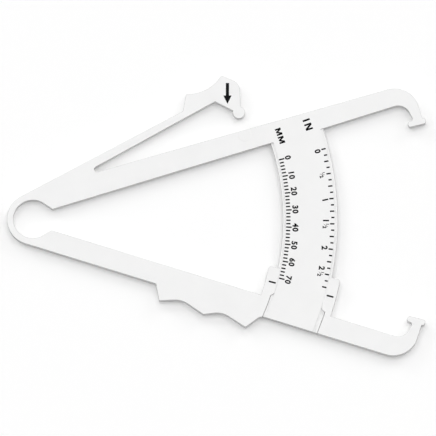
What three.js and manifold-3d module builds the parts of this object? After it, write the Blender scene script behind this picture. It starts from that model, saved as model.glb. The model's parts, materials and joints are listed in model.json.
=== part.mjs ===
// Skinfold caliper, moulded flat in white plastic: two long arms that a C-shaped spring ring joins at one end,
// hooked jaws with small feet at the other, a curved scale that runs through a guide in the lower arm, a finger
// grip under the lower arm and a springy thumb lever along the upper one.
// Millimetres and degrees. The caliper lies flat on Z = 0 with its printed face up, and the jaws point to +X.
// Plan views are drawn about the centre of the spring ring, where the arms turn. The finished group is moved
// so that the middle of its bounding box stands over the origin.

import * as THREE from "three";
import { mergeVertices } from "three/addons/utils/BufferGeometryUtils.js";
import Module from "manifold-3d";

// Heights, and the gap between pieces that slide past each other
const PLATE = 3;
const CHANNEL_FLOOR = 0.9;
const RIM_DROP = 1.05;
const SLIDE_GAP = 0.3;

// Spring ring
const RING_INNER = 7.3;
const RING_OUTER = 9.7;
const THROAT_REACH = 8.3;

// Upper arm: each edge is a straight line with an angle and a distance from the ring's centre
const UPPER_INNER_ANGLE = 17.14;
const UPPER_INNER_OFFSET = 1.44;
const UPPER_TIP_ANGLE = 17.64;
const UPPER_TIP_OFFSET = 0;
const UPPER_OUTER_ANGLE = 16.13;
const UPPER_OUTER_OFFSET = 10.65;

// Lower arm: its outer edge runs tangent to the ring
const LOWER_ANGLE = 17.4;
const LOWER_INNER_OFFSET = 2;

// Jaws: each arm ends in a bent hook and a foot
const HOOK_START = 126;
const JAW_REACH = 149.5;
const UPPER_JAW_DEPTH = 9.6;
const LOWER_JAW_DEPTH = 9.1;
const SHANK_WIDTH = 3.4;
const SHANK_INNER_LEAN = 12.9;
const SHANK_OUTER_LEAN = 3.5;
const HOOK_INNER_BEND = 4.8;
const HOOK_OUTER_BEND = 9.4;
const FOOT_DEPTH = 2.2;
const FOOT_TOE = 2.4;
const FOOT_HEEL = 1;
const FOOT_ROUND = 0.85;
const CLOSED_ANGLE_GAP = 0.15;

// Scale: a curved plate about the ring's centre, with a lowered rim along both long edges
const SCALE_INNER = 93.8;
const SCALE_WIDTH = 20.55;
const RIM_WIDTH = 1.1;
const OUTER_PLAY = 0.85;

// Guide tabs: they stand beside the scale above the lower arm, and their lips, which end short of the arm,
// hold the scale's rims down
const INNER_TAB_WALL = 3.2;
const OUTER_TAB_WALL = 2.4;
const TAB_ROUND = 1.2;
const INNER_TAB_STOP = 1;
const OUTER_TAB_STOP = 0.45;
const LIP_SETBACK = 1.1;
const LIP_ROUND = 0.9;

// Finger grip under the lower arm: three points, and a hollow after the first and after the second
const GRIP_START = 51.5;
const GRIP_POINTS = [54.5, 71.9, 88.4];
const GRIP_HOLLOWS = [62.5, 78.4];
const GRIP_END = 92.6;
const POINT_HEIGHT = 5.8;
const HOLLOW_HEIGHT = 2.9;
const POINT_ROUND = 0.35;
const HOLLOW_ROUND = 8;
const GRIP_START_ROUND = 0.8;
const GRIP_END_ROUND = 3;

// Thumb lever: its outer edge runs tangent to the ring, and its inner edge narrows it towards the pad
const LEVER_ANGLE = 28.3;
const LEVER_ROOT_WIDTH = 3.35;
const LEVER_TIP_WIDTH = 2.5;
const SLOT_START = 29.2;
const SLOT_ROUND = 0.8;
const NECK_SETBACK = 1.3;
const NECK_LENGTH = 7;

// Thumb pad: a saddle for the thumb between two horns, and a nose that carries the round tip
const PAD_START = 69.2;
const BACK_HORN = 73.3;
const FRONT_HORN = 88.3;
const HORN_HEIGHT = 5.2;
const HORN_ROUND = 0.7;
const SADDLE_SAG = 2.1;
const NOSE_REACH = 4.6;
const NOSE_DROP = 0.75;
const NOSE_ROUND = 4;
const PAD_THROAT = 81.5;
const TIP_SETBACK = 0.9;
const TIP_DROP = 10.4;
const TIP_RADIUS = 2.3;
const TIP_SEAT = 1.65;

// Press mark: a low round land on the upper arm, where the lever's tip swings to
const MARK_RADIUS = 2.4;
const MARK_SETBACK = 1.5;
const MARK_HEIGHT = 0.15;

// Fineness of curves: the longest flat, and the most that a flat may leave its curve
const FLAT_LENGTH = 2;
const FLAT_SAG = 0.008;

const WHITE_PLASTIC = { color: 0xf3f3f1, roughness: 0.5, metalness: 0 };

const UP = 1;
const DOWN = -1;
const radians = THREE.MathUtils.degToRad;
const degrees = THREE.MathUtils.radToDeg;

const wasm = await Module();
wasm.setup();

// Points and lines of the plan view

function polar(radius, angle) {
  return new THREE.Vector2(Math.cos(radians(angle)), Math.sin(radians(angle))).multiplyScalar(radius);
}

function angleOf(point) {
  return degrees(Math.atan2(point.y, point.x));
}

// A straight edge above or below the X axis. It points away from the ring, and its nearest point to the
// ring's centre lies at the offset, counted away from the X axis.
function edge(side, angle, offset) {
  const along = polar(1, side * angle);
  const away = polar(side, side * angle + 90);
  return { along, away, from: away.clone().multiplyScalar(offset) };
}

// The point at a distance along an edge, moved away from the X axis by a rise.
function onEdge(line, distance, rise = 0) {
  return line.from.clone().addScaledVector(line.along, distance).addScaledVector(line.away, rise);
}

// The point of an edge at a radius from the ring's centre.
function atRadius(line, radius) {
  return onEdge(line, Math.sqrt(radius ** 2 - line.from.lengthSq()));
}

function meet(a, b) {
  const gap = b.from.clone().sub(a.from);
  const distance = gap.cross(b.along) / a.along.cross(b.along);
  return a.from.clone().addScaledVector(a.along, distance);
}

// Arcs and outlines

// The number of flats that keeps an arc of this radius and turn within the fineness above.
function flatCount(radius, turn) {
  const turnBySag = 2 * Math.acos(1 - Math.min(FLAT_SAG / radius, 0.5));
  const turnByLength = FLAT_LENGTH / radius;
  return Math.max(2, Math.ceil(Math.abs(radians(turn)) / Math.min(turnBySag, turnByLength)));
}

function arc(centre, radius, start, end) {
  const clockwise = end < start;
  const curve = new THREE.ArcCurve(centre.x, centre.y, radius, radians(start), radians(end), clockwise);
  return curve.getPoints(flatCount(radius, end - start));
}

function ringArc(radius, start, end) {
  return arc(new THREE.Vector2(), radius, start, end);
}

function round(corner, radius) {
  return { corner, radius };
}

// The arc that rounds a corner, no longer than the edges beside it allow.
function roundedCorner(before, corner, after, radius, room) {
  const back = before.clone().sub(corner).normalize();
  const ahead = after.clone().sub(corner).normalize();
  const halfAngle = Math.acos(back.dot(ahead)) / 2;
  const cut = Math.min(radius / Math.tan(halfAngle), room);
  const size = cut * Math.tan(halfAngle);
  const towardsCentre = back.clone().add(ahead).normalize();
  const centre = corner.clone().addScaledVector(towardsCentre, size / Math.sin(halfAngle));
  const start = corner.clone().addScaledVector(back, cut).sub(centre);
  const end = corner.clone().addScaledVector(ahead, cut).sub(centre);
  const turn = degrees(Math.atan2(start.cross(end), start.dot(end)));
  return arc(centre, size, angleOf(start), angleOf(start) + turn);
}

// A closed shape from points, corners with a round, and lists of points. Two rounds share the edge between
// them evenly, and a round beside a plain point may take nearly all of it.
function outline(parts) {
  const places = parts.map((part) => [part.corner ?? part].flat());
  const points = parts.flatMap((part, i) => {
    if (!part.corner) {
      return part;
    }
    const previous = (i + parts.length - 1) % parts.length;
    const next = (i + 1) % parts.length;
    const before = places[previous].at(-1);
    const after = places[next][0];
    const roomBefore = before.distanceTo(part.corner) * (parts[previous].corner ? 0.49 : 0.98);
    const roomAfter = after.distanceTo(part.corner) * (parts[next].corner ? 0.49 : 0.98);
    return roundedCorner(before, part.corner, after, part.radius, Math.min(roomBefore, roomAfter));
  });
  return new THREE.Shape(points);
}

// Solids and pieces

function slab(shape, bottom, top) {
  const geometry = new THREE.ExtrudeGeometry(shape, { depth: top - bottom, bevelEnabled: false });
  return geometry.translate(0, 0, bottom);
}

function solid(geometry) {
  geometry.deleteAttribute("normal");
  geometry.deleteAttribute("uv");
  const merged = mergeVertices(geometry);
  const mesh = new wasm.Mesh({
    numProp: 3,
    vertProperties: merged.attributes.position.array,
    triVerts: new Uint32Array(merged.index.array),
  });
  return new wasm.Manifold(mesh);
}

function surface(body) {
  const mesh = body.getMesh();
  const geometry = new THREE.BufferGeometry();
  geometry.setAttribute("position", new THREE.BufferAttribute(mesh.vertProperties, mesh.numProp));
  geometry.setIndex(new THREE.BufferAttribute(mesh.triVerts, 1));
  const faceted = geometry.toNonIndexed();
  faceted.computeVertexNormals();
  return faceted;
}

function piece(name, geometry) {
  const mesh = new THREE.Mesh(geometry, new THREE.MeshStandardMaterial(WHITE_PLASTIC));
  mesh.name = name;
  return mesh;
}

// Main edges and derived sizes

const upperInner = edge(UP, UPPER_INNER_ANGLE, UPPER_INNER_OFFSET);
const upperTipInner = edge(UP, UPPER_TIP_ANGLE, UPPER_TIP_OFFSET);
const upperOuter = edge(UP, UPPER_OUTER_ANGLE, UPPER_OUTER_OFFSET);
const lowerInner = edge(DOWN, LOWER_ANGLE, LOWER_INNER_OFFSET);
const lowerOuter = edge(DOWN, LOWER_ANGLE, RING_OUTER);
const lipEnd = edge(DOWN, LOWER_ANGLE, LOWER_INNER_OFFSET - LIP_SETBACK);
const leverOuter = edge(UP, LEVER_ANGLE, RING_OUTER);

const SCALE_OUTER = SCALE_INNER + SCALE_WIDTH;
const SCALE_BOTTOM = CHANNEL_FLOOR + SLIDE_GAP;
const CHANNEL_INNER = SCALE_INNER - SLIDE_GAP;
const CHANNEL_OUTER = SCALE_OUTER + OUTER_PLAY;
const RIM_TOP = PLATE - RIM_DROP;
const UPPER_RING_CUT = LEVER_ANGLE + 90;
const LOWER_RING_CUT = LOWER_ANGLE + 90;

// The angle of a jaw's contact face, which lies along a ray from the ring's centre.
function faceAngle(innerEdge, depth) {
  const armAngle = Math.abs(angleOf(atRadius(innerEdge, JAW_REACH)));
  return armAngle - degrees(Math.asin(depth / JAW_REACH));
}

const upperFace = edge(UP, faceAngle(upperTipInner, UPPER_JAW_DEPTH), 0);
const lowerFace = edge(DOWN, faceAngle(lowerInner, LOWER_JAW_DEPTH), 0);
const CLOSING_SWING = angleOf(upperFace.along) - angleOf(lowerFace.along) - CLOSED_ANGLE_GAP;

// The line across an arm where its hook begins.
function hookCut(innerEdge) {
  return { from: onEdge(innerEdge, HOOK_START), along: innerEdge.away };
}

// Spring ring

function springRing() {
  const shape = outline([
    ringArc(RING_INNER, UPPER_RING_CUT, 360 - LOWER_RING_CUT),
    ringArc(RING_OUTER, 360 - LOWER_RING_CUT, UPPER_RING_CUT),
  ]);
  return piece("spring_ring", slab(shape, 0, PLATE));
}

// The part of the ring's hole that an arm's root forms, from its throat corner to where the free ring starts.
function throat(side, innerEdge, ringCut) {
  const corner = atRadius(innerEdge, THROAT_REACH);
  const tangentTurn = degrees(Math.acos(RING_INNER / THROAT_REACH));
  return [corner, ...ringArc(RING_INNER, angleOf(corner) + side * tangentTurn, side * ringCut)];
}

// Thumb lever: places on it are distances along its outer edge and rises away from the upper arm

function leverInner(distance) {
  const share = (distance - SLOT_START) / (PAD_THROAT - SLOT_START);
  const width = LEVER_ROOT_WIDTH + (LEVER_TIP_WIDTH - LEVER_ROOT_WIDTH) * share;
  return onEdge(leverOuter, distance, -width);
}

function leverStrip(start, end) {
  return outline([onEdge(leverOuter, start), onEdge(leverOuter, end), leverInner(end), leverInner(start)]);
}

const NECK_START = SLOT_START + NECK_SETBACK;
const NECK_END = NECK_START + NECK_LENGTH;
const NECK_MIDDLE = (NECK_START + NECK_END) / 2;
const leverPivot = onEdge(leverOuter, NECK_MIDDLE).lerp(leverInner(NECK_MIDDLE), 0.5);
const tipCentre = onEdge(leverOuter, FRONT_HORN - TIP_SETBACK, -TIP_DROP);
const tipHalfSeat = Math.sqrt(TIP_RADIUS ** 2 - TIP_SEAT ** 2);
const tipSeat = [tipHalfSeat, -tipHalfSeat].map((half) => {
  return onEdge(leverOuter, FRONT_HORN - TIP_SETBACK + half, TIP_SEAT - TIP_DROP);
});

// The saddle's arc between the two horns, without its end points.
function saddle() {
  const half = (FRONT_HORN - BACK_HORN) / 2;
  const radius = (half ** 2 + SADDLE_SAG ** 2) / (2 * SADDLE_SAG);
  const spread = degrees(Math.asin(half / radius));
  const rise = HORN_HEIGHT - SADDLE_SAG + radius;
  const centre = onEdge(leverOuter, BACK_HORN + half, rise);
  const lowest = LEVER_ANGLE + 270;
  return arc(centre, radius, lowest - spread, lowest + spread).slice(1, -1);
}

function thumbPad() {
  const shape = outline([
    onEdge(leverOuter, PAD_START),
    round(onEdge(leverOuter, BACK_HORN, HORN_HEIGHT), HORN_ROUND),
    saddle(),
    round(onEdge(leverOuter, FRONT_HORN, HORN_HEIGHT), HORN_ROUND),
    round(onEdge(leverOuter, FRONT_HORN + NOSE_REACH, -NOSE_DROP), NOSE_ROUND),
    ...tipSeat,
    leverInner(PAD_THROAT),
    leverInner(PAD_START),
  ]);
  return piece("thumb_pad", slab(shape, 0, PLATE));
}

function leverTip() {
  const seatAngle = degrees(Math.asin(TIP_SEAT / TIP_RADIUS));
  const start = LEVER_ANGLE + 180 - seatAngle;
  const shape = outline([arc(tipCentre, TIP_RADIUS, start, start + 180 + 2 * seatAngle)]);
  return piece("lever_tip", slab(shape, 0, PLATE));
}

// Upper arm with the root of the thumb lever

function upperArmOutline() {
  const slotCorner = leverInner(SLOT_START);
  const slotEnd = { from: slotCorner, along: leverOuter.away };
  const cut = hookCut(upperTipInner);
  return outline([
    onEdge(leverOuter, 0),
    onEdge(leverOuter, NECK_START),
    leverInner(NECK_START),
    round(slotCorner, SLOT_ROUND),
    round(meet(slotEnd, upperOuter), SLOT_ROUND),
    meet(cut, upperOuter),
    cut.from,
    atRadius(upperTipInner, SCALE_OUTER),
    atRadius(upperInner, SCALE_INNER),
    throat(UP, upperInner, UPPER_RING_CUT),
  ]);
}

// The mark is centred where the tip's centre, swinging about the neck, comes to the mark's distance inside
// the arm's outer edge, which cuts the mark off.
function pressMark() {
  const pivot = leverPivot.clone().sub(upperOuter.from);
  const drop = pivot.dot(upperOuter.away) + MARK_SETBACK;
  const reach = Math.sqrt(tipCentre.distanceToSquared(leverPivot) - drop ** 2);
  const centre = onEdge(upperOuter, pivot.dot(upperOuter.along) + reach, -MARK_SETBACK);
  const edgeAngle = degrees(Math.asin(MARK_SETBACK / MARK_RADIUS));
  const start = UPPER_OUTER_ANGLE + 180 - edgeAngle;
  return outline([arc(centre, MARK_RADIUS, start, start + 180 + 2 * edgeAngle)]);
}

function upperArm() {
  const bar = solid(slab(upperArmOutline(), 0, PLATE));
  const mark = solid(slab(pressMark(), PLATE / 2, PLATE + MARK_HEIGHT));
  return piece("upper_arm", surface(bar.add(mark)));
}

// Scale: its upper end meets the upper arm, and at rest its lower end is flush with the lower arm's outer edge

function scaleBand(innerRadius, outerRadius) {
  const innerTop = angleOf(atRadius(upperInner, SCALE_INNER));
  const outerTop = angleOf(atRadius(upperTipInner, SCALE_OUTER));
  const innerEnd = angleOf(atRadius(lowerOuter, innerRadius));
  const outerEnd = angleOf(atRadius(lowerOuter, outerRadius));
  return outline([ringArc(innerRadius, innerTop, innerEnd), ringArc(outerRadius, outerEnd, outerTop)]);
}

// The space above one rim, which reaches past both ends of the scale.
function rimTrim(innerRadius, outerRadius) {
  const start = 2 * UPPER_INNER_ANGLE;
  const end = -2 * LOWER_ANGLE;
  const shape = outline([ringArc(innerRadius, start, end), ringArc(outerRadius, end, start)]);
  return solid(slab(shape, RIM_TOP, 2 * PLATE));
}

function scaleSector() {
  const plate = solid(slab(scaleBand(SCALE_INNER, SCALE_OUTER), SCALE_BOTTOM, PLATE));
  const innerTrim = rimTrim(SCALE_INNER - RIM_WIDTH, SCALE_INNER + RIM_WIDTH);
  const outerTrim = rimTrim(SCALE_OUTER - RIM_WIDTH, SCALE_OUTER + RIM_WIDTH);
  return piece("scale_sector", surface(plate.subtract(innerTrim).subtract(outerTrim)));
}

// Lower arm with the open channel that the scale slides through

// The space of the channel, which reaches past both edges of the arm.
function channel() {
  const start = 0;
  const end = -2 * LOWER_ANGLE;
  const shape = outline([ringArc(CHANNEL_INNER, start, end), ringArc(CHANNEL_OUTER, end, start)]);
  return solid(slab(shape, CHANNEL_FLOOR, 2 * PLATE));
}

function lowerArm() {
  const cut = hookCut(lowerInner);
  const shape = outline([
    onEdge(lowerOuter, 0),
    meet(cut, lowerOuter),
    cut.from,
    throat(DOWN, lowerInner, LOWER_RING_CUT),
  ]);
  return piece("lower_arm", surface(solid(slab(shape, 0, PLATE)).subtract(channel())));
}

// The fillet between the arm's outer edge and a flank of the grip, no longer than half the flank.
function gripFillet(before, corner, after, radius, flankEnd) {
  return roundedCorner(before, corner, after, radius, flankEnd.distanceTo(corner) / 2);
}

function fingerGrip() {
  const point = (distance) => onEdge(lowerOuter, distance, POINT_HEIGHT);
  const hollow = (distance) => round(onEdge(lowerOuter, distance, HOLLOW_HEIGHT), HOLLOW_ROUND);
  const [first, ...others] = GRIP_POINTS;
  const start = onEdge(lowerOuter, GRIP_START);
  const end = onEdge(lowerOuter, GRIP_END);
  const shape = outline([
    gripFillet(lowerOuter.from, start, point(first), GRIP_START_ROUND, point(first)),
    round(point(first), POINT_ROUND),
    ...others.flatMap((distance, i) => [hollow(GRIP_HOLLOWS[i]), round(point(distance), POINT_ROUND)]),
    gripFillet(point(others.at(-1)), end, onEdge(lowerOuter, HOOK_START), GRIP_END_ROUND, point(others.at(-1))),
  ]);
  return piece("finger_grip", surface(solid(slab(shape, 0, PLATE)).subtract(channel())));
}

// Guide tabs: a wall beside the scale with a lip over its rim. A tab's wall meets the lower arm's inner
// edge, and its upper end stops short of the upper arm when the jaws close.

// The plan of a tab's wall, whose outer face has a rounded upper corner.
function wallBand(outside, beside, top) {
  const setback = degrees(TAB_ROUND / outside);
  return outline([
    round(polar(outside, top), TAB_ROUND),
    ringArc(outside, top - setback, angleOf(atRadius(lowerInner, outside))),
    ringArc(beside, angleOf(atRadius(lowerInner, beside)), top),
  ]);
}

// The plan of a tab's lip from inside the wall to its edge over the rim, with a rounded lower corner there.
function lipBand(inWall, lipEdge, top) {
  const corner = angleOf(atRadius(lipEnd, lipEdge));
  const setback = degrees(LIP_ROUND / lipEdge);
  return outline([
    ringArc(inWall, top, angleOf(atRadius(lipEnd, inWall))),
    round(polar(lipEdge, corner), LIP_ROUND),
    ringArc(lipEdge, corner + setback, top),
  ]);
}

function guideTab(name, outside, beside, lipEdge, top) {
  const wall = solid(slab(wallBand(outside, beside, top), 0, PLATE));
  const lip = slab(lipBand((outside + beside) / 2, lipEdge, top), RIM_TOP + SLIDE_GAP, PLATE);
  return piece(name, surface(wall.add(solid(lip))));
}

function innerGuideTab() {
  const outside = CHANNEL_INNER - INNER_TAB_WALL;
  const lipEdge = SCALE_INNER + RIM_WIDTH - SLIDE_GAP;
  const stop = angleOf(atRadius(upperInner, outside)) - INNER_TAB_STOP;
  return guideTab("inner_guide_tab", outside, CHANNEL_INNER, lipEdge, stop - CLOSING_SWING);
}

function outerGuideTab() {
  const outside = CHANNEL_OUTER + OUTER_TAB_WALL;
  const lipEdge = SCALE_OUTER - RIM_WIDTH + SLIDE_GAP;
  const stop = angleOf(atRadius(upperTipInner, outside)) - OUTER_TAB_STOP;
  return guideTab("outer_guide_tab", outside, CHANNEL_OUTER, lipEdge, stop - CLOSING_SWING);
}

// Jaws: places on a foot are distances along its contact face and rises from it towards its own arm

const SHANK_INNER_SEAT = JAW_REACH - SHANK_WIDTH / 2;
const SHANK_OUTER_SEAT = JAW_REACH + SHANK_WIDTH / 2;

// An edge of a hook's shank, which leans from the back of the foot towards the ring.
function shankEdge(face, seat, lean) {
  const along = face.away.clone().multiplyScalar(Math.cos(radians(lean)));
  along.addScaledVector(face.along, -Math.sin(radians(lean)));
  return { from: onEdge(face, seat, FOOT_DEPTH), along };
}

function jawHook(name, face, innerEdge, outerEdge) {
  const cut = hookCut(innerEdge);
  const shankInner = shankEdge(face, SHANK_INNER_SEAT, SHANK_INNER_LEAN);
  const shankOuter = shankEdge(face, SHANK_OUTER_SEAT, SHANK_OUTER_LEAN);
  const shape = outline([
    cut.from,
    round(meet(innerEdge, shankInner), HOOK_INNER_BEND),
    shankInner.from,
    shankOuter.from,
    round(meet(outerEdge, shankOuter), HOOK_OUTER_BEND),
    meet(cut, outerEdge),
  ]);
  return piece(name, slab(shape, 0, PLATE));
}

function jawFoot(name, face) {
  const toe = SHANK_INNER_SEAT - FOOT_TOE;
  const heel = SHANK_OUTER_SEAT + FOOT_HEEL;
  const shape = outline([
    round(onEdge(face, toe), FOOT_ROUND),
    round(onEdge(face, heel), FOOT_ROUND),
    round(onEdge(face, heel, FOOT_DEPTH), FOOT_ROUND),
    round(onEdge(face, toe, FOOT_DEPTH), FOOT_ROUND),
  ]);
  return piece(name, slab(shape, 0, PLATE));
}

// Assembly

function group(...members) {
  return new THREE.Group().add(...members);
}

const upperLimb = group(
  upperArm(),
  scaleSector(),
  jawHook("upper_jaw", upperFace, upperTipInner, upperOuter),
  jawFoot("upper_foot", upperFace),
);
const lowerLimb = group(
  lowerArm(),
  fingerGrip(),
  innerGuideTab(),
  outerGuideTab(),
  jawHook("lower_jaw", lowerFace, lowerInner, lowerOuter),
  jawFoot("lower_foot", lowerFace),
);
const thumbLever = group(
  piece("thumb_lever", slab(leverStrip(NECK_END, PAD_START), 0, PLATE)),
  thumbPad(),
  leverTip(),
);
const flexures = group(
  springRing(),
  piece("lever_neck", slab(leverStrip(NECK_START, NECK_END), 0, PLATE)),
);

const caliper = group(upperLimb, lowerLimb, thumbLever, flexures);
const middle = new THREE.Box3().setFromObject(caliper).getCenter(new THREE.Vector3());
caliper.position.set(-middle.x, -middle.y, 0);

export default group(caliper);
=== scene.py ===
"""Looks of the skinfold caliper.

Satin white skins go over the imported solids, with softly rounded edges and no seams inside a stretch that the
real moulding has in one. Thin black print lies on the scale, the guide tabs and the thumb pad. A plain white
studio shows the caliper from the photograph's angle. Lengths are in metres, angles in degrees.
"""

import json
import logging
import math
from collections.abc import Iterable
from dataclasses import dataclass, field
from enum import Enum
from functools import cache
from typing import Any

import bmesh
import bpy
from bmesh.types import BMesh, BMEdge, BMFace, BMVert
from bpy.types import ID, Material, Node, NodeSocket, NodeTree, Object
from mathutils import Matrix, Vector
from mathutils.bvhtree import BVHTree

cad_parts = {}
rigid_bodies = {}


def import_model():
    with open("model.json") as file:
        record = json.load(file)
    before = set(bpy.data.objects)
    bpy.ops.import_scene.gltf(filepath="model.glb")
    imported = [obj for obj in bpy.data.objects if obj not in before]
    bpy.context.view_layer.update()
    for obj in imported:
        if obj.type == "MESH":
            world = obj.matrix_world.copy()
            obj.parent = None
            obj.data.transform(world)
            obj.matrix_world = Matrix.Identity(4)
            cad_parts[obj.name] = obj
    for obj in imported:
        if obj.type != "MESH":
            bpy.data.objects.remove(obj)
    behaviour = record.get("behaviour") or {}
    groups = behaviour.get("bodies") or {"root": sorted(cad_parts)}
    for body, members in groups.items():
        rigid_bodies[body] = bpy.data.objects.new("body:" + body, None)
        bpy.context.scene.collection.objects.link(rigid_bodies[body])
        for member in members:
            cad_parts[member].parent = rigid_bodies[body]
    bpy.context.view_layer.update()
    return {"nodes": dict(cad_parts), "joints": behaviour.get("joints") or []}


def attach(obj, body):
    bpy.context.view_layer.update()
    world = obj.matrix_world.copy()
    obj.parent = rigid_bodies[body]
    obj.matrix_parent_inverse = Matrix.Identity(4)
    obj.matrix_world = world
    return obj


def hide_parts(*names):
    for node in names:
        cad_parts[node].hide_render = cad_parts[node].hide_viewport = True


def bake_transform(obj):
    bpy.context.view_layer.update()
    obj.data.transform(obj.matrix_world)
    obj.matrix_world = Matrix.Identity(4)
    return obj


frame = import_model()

LOG = logging.getLogger("caliper")
MM = 0.001
Colour = tuple[float, float, float, float]
Pair = tuple[float, float]
Plane = tuple[Vector, Vector]

# The height of the moulding's top face
PLATE_TOP = 3.0 * MM

# Points nearer than this are one point: in a solid, and after shapes are fused or moved
SAME_POINT = 0.0005 * MM
SAME_CORNER = 0.004 * MM
# Edges shorter than this are dropped, before and after the edges are rounded
FUSED_SPECK = 0.002 * MM
ROUNDED_SPECK = 0.003 * MM

# Faces that meet at less than this are flat, edges above the next are corners, and shading breaks at the last
FLAT_ANGLE = math.radians(0.25)
CORNER_ANGLE = math.radians(30.0)
SHADING_ANGLE = math.radians(38.0)

# The part of its 0 to 1 that most of a noise texture's values lie in
NOISE_RANGE = (0.3, 0.7)


class Slot(Enum):
    """The record's material slots."""

    PLASTIC = "white_plastic"
    INK = "black_ink"


class Limb(Enum):
    """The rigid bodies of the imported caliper."""

    UPPER = "upper_limb"
    LOWER = "lower_limb"
    LEVER = "lever"


class Corner(Enum):
    """What a rounding takes: the edges of a body, or the corner points of a flat outline."""

    EDGES = "EDGES"
    POINTS = "VERTICES"


# Places on the plan


def hinge_middle(name: str) -> Vector:
    """The point of a hinge's axis in the underside's plane, by the joint's name in the record."""
    joint = next(joint for joint in frame["joints"] if joint["name"] == name)
    return Vector((*joint["pos_m"][:2], 0.0))


RING_MIDDLE = hinge_middle("jaw_hinge")


def ray(angle: float) -> Vector:
    """The unit vector in plan at an angle from the X axis."""
    return Vector((math.cos(math.radians(angle)), math.sin(math.radians(angle)), 0.0))


def on_ring_plan(radius: float, angle: float) -> Vector:
    """The point at a radius and an angle about the spring ring's middle."""
    return RING_MIDDLE + ray(angle) * radius


def ring_radius(vert: BMVert) -> float:
    """How far a point lies from the spring ring's middle in plan."""
    return (vert.co.xy - RING_MIDDLE.xy).length


def reading_seat(place: Vector, up_angle: float) -> Matrix:
    """The frame of a printed mark, from its middle and the direction in plan that its top points to."""
    return Matrix.Translation(place) @ Matrix.Rotation(math.radians(up_angle - 90.0), 4, "Z")


# Meshes


def put_on_show(name: str, data: ID) -> Object:
    """Makes an object of its data and adds it to the scene."""
    piece = bpy.data.objects.new(name, data)
    bpy.context.scene.collection.objects.link(piece)
    return piece


def take_away(piece: Object) -> None:
    """Removes a helper object and the data that it alone uses."""
    bpy.data.batch_remove((piece, piece.data))


def piece_of(name: str, shape: BMesh) -> Object:
    """Writes a shape to a new object without the imported shading, and frees the shape."""
    mesh = bpy.data.meshes.new(name)
    shape.to_mesh(mesh)
    shape.free()
    for layer in ("custom_normal", "sharp_face", "sharp_edge"):
        if layer in mesh.attributes:
            mesh.attributes.remove(mesh.attributes[layer])
    mesh.materials.clear()
    return put_on_show(name, mesh)


def joined_copy(node: str) -> BMesh:
    """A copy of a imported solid, with its loose triangles joined into whole faces.

    Args:
        node: The solid's name.

    Returns:
        A new bmesh, which the caller frees.
    """
    shape = bmesh.new()
    shape.from_mesh(frame["nodes"][node].data)
    bmesh.ops.remove_doubles(shape, verts=shape.verts, dist=SAME_POINT)
    join_flat_faces(shape)
    return shape


def join_flat_faces(shape: BMesh) -> None:
    """Joins the faces that lie in one plane, and drops the points in the middle of straight edges."""
    bmesh.ops.dissolve_limit(shape, angle_limit=FLAT_ANGLE, verts=shape.verts, edges=shape.edges)


def touches_flat(face: BMFace, other: BMesh, tree: BVHTree) -> bool:
    """Whether a face lies flat on a face of another shape that is as large or larger.

    Args:
        face: The face.
        other: The other shape, with its lookup table up to date.
        tree: The other shape's search tree.

    Returns:
        True when the two touch, back to back.
    """
    touching, back_to_back, as_large = 0.001 * MM, -0.999, 1.001
    _, normal, index, distance = tree.find_nearest(face.calc_center_median())
    flat = distance < touching and normal.dot(face.normal) < back_to_back
    return flat and face.calc_area() <= other.faces[index].calc_area() * as_large


def press_together(shapes: list[BMesh], depth: float = 0.05 * MM, digits: int = 7) -> None:
    """Pushes each face that lies flat on a larger face of another shape a little way into it.

    The solids of one moulding only touch, and shapes that overlap a little fuse into one skin. Heights are
    evened out, so that the shapes' tops lie in exactly one plane.

    Args:
        shapes: The shapes of one stretch of the moulding.
        depth: How far a face goes in.
        digits: The decimals that a height keeps.
    """
    trees = [BVHTree.FromBMesh(shape) for shape in shapes]
    for shape in shapes:
        shape.faces.ensure_lookup_table()
    for shape in shapes:
        others = [pair for pair in zip(shapes, trees) if pair[0] is not shape]
        for face in shape.faces:
            face.tag = any(touches_flat(face, *pair) for pair in others)
    for shape in shapes:
        moves = {vert: face.normal.copy() for face in shape.faces if face.tag for vert in face.verts}
        for vert, direction in moves.items():
            vert.co += direction * depth
        for vert in shape.verts:
            vert.co.z = round(vert.co.z, digits)


def fused(nodes: Iterable[str]) -> BMesh:
    """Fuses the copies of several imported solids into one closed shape.

    Args:
        nodes: The names of solids that touch.

    Returns:
        A new bmesh with whole flat faces, which the caller frees.
    """
    shapes = [joined_copy(node) for node in nodes]
    press_together(shapes)
    first, *others = [piece_of("helper", shape) for shape in shapes]
    for other in others:
        union = first.modifiers.new("union", "BOOLEAN")
        union.operation = "UNION"
        union.solver = "EXACT"
        union.object = other
    evaluated = first.evaluated_get(bpy.context.evaluated_depsgraph_get())
    whole = bmesh.new()
    whole.from_mesh(evaluated.to_mesh())
    evaluated.to_mesh_clear()
    for helper in (first, *others):
        take_away(helper)
    bmesh.ops.remove_doubles(whole, verts=whole.verts, dist=SAME_CORNER)
    bmesh.ops.dissolve_degenerate(whole, edges=whole.edges, dist=FUSED_SPECK)
    join_flat_faces(whole)
    bmesh.ops.delete(whole, geom=[edge for edge in whole.edges if edge.is_wire], context="EDGES")
    return whole


def is_upright(edge: BMEdge, lean: float = 0.1) -> bool:
    """Whether an edge stands at right angles to the plate, but for this lean."""
    start, end = (vert.co for vert in edge.verts)
    return (start.xy - end.xy).length < lean * edge.calc_length()


def is_sharp(edge: BMEdge) -> bool:
    """Whether an edge is a real corner, and not a joint between two flats of a curve."""
    return len(edge.link_faces) == 2 and edge.calc_face_angle() > CORNER_ANGLE


def has_room(edge: BMEdge, length: float) -> bool:
    """Whether the level corners that meet an upright edge are longer than this."""
    meeting = {other for vert in edge.verts for other in vert.link_edges}
    return all(other.calc_length() > length for other in meeting if is_sharp(other) and not is_upright(other))


def lies_in(edge: BMEdge, place: Vector, normal: Vector, play: float = 0.002 * MM) -> bool:
    """Whether an edge lies in the plane through a place with this normal, give or take the play."""
    return all(abs((vert.co - place).dot(normal)) < play for vert in edge.verts)


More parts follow.
